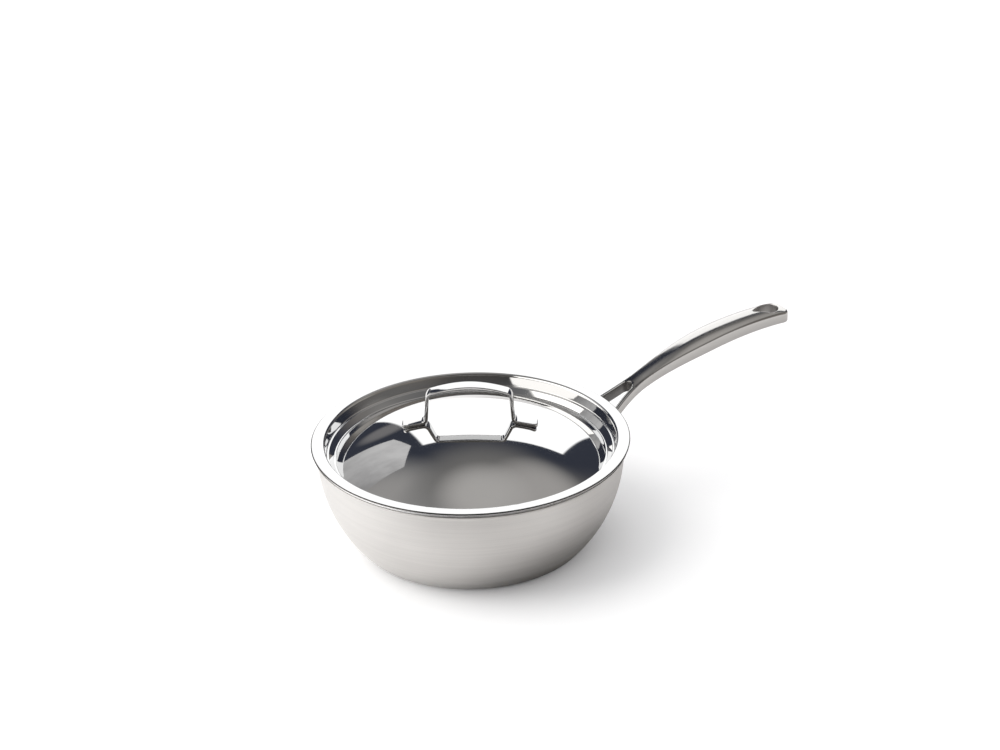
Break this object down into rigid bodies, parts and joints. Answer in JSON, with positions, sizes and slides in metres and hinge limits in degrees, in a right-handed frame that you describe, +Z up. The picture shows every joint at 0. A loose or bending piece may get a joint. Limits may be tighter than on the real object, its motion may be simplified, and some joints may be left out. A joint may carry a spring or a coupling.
{
  "type": "saute pan with lid",
  "caption": "Lidded saute pan with a rounded, tapering bowl, a long forked handle with a hanging hole and a domed lid with an arched strap grip.",
  "frame": {"origin": "centre of the bowl's flat base, on the surface it stands on", "axes": "+Z up out of the bowl, +X along the long handle away from the bowl, +Y to the handle's left seen from above"},
  "size_m": [0.4295, 0.255, 0.1358],
  "materials": {
    "brushed_outer_steel": "satin, brushed round the bowl",
    "core_aluminium": "plain rolled sheet",
    "satin_lining_steel": "satin",
    "cast_handle_steel": "polished casting",
    "weld_bead_steel": "dressed weld",
    "polished_lid_steel": "mirror polish",
    "polished_strap_steel": "mirror polish",
    "nugget_steel": "plain weld metal"
  },
  "bodies": {
    "pan": {"bowl_outer_skin": "brushed_outer_steel", "bowl_aluminium_core": "core_aluminium", "bowl_inner_lining": "satin_lining_steel", "long_handle": "cast_handle_steel", "fork_weld_left": "weld_bead_steel", "fork_weld_right": "weld_bead_steel"},
    "lid": {"lid_shell": "polished_lid_steel", "lid_strap": "polished_strap_steel", "strap_weld_left": "nugget_steel", "strap_weld_right": "nugget_steel"}
  },
  "joints": [
    {"name": "lid_lift", "type": "slide", "parent": "pan", "child": "lid", "axis": [0, 0, 1], "range_m": [0, 0.12]}
  ]
}
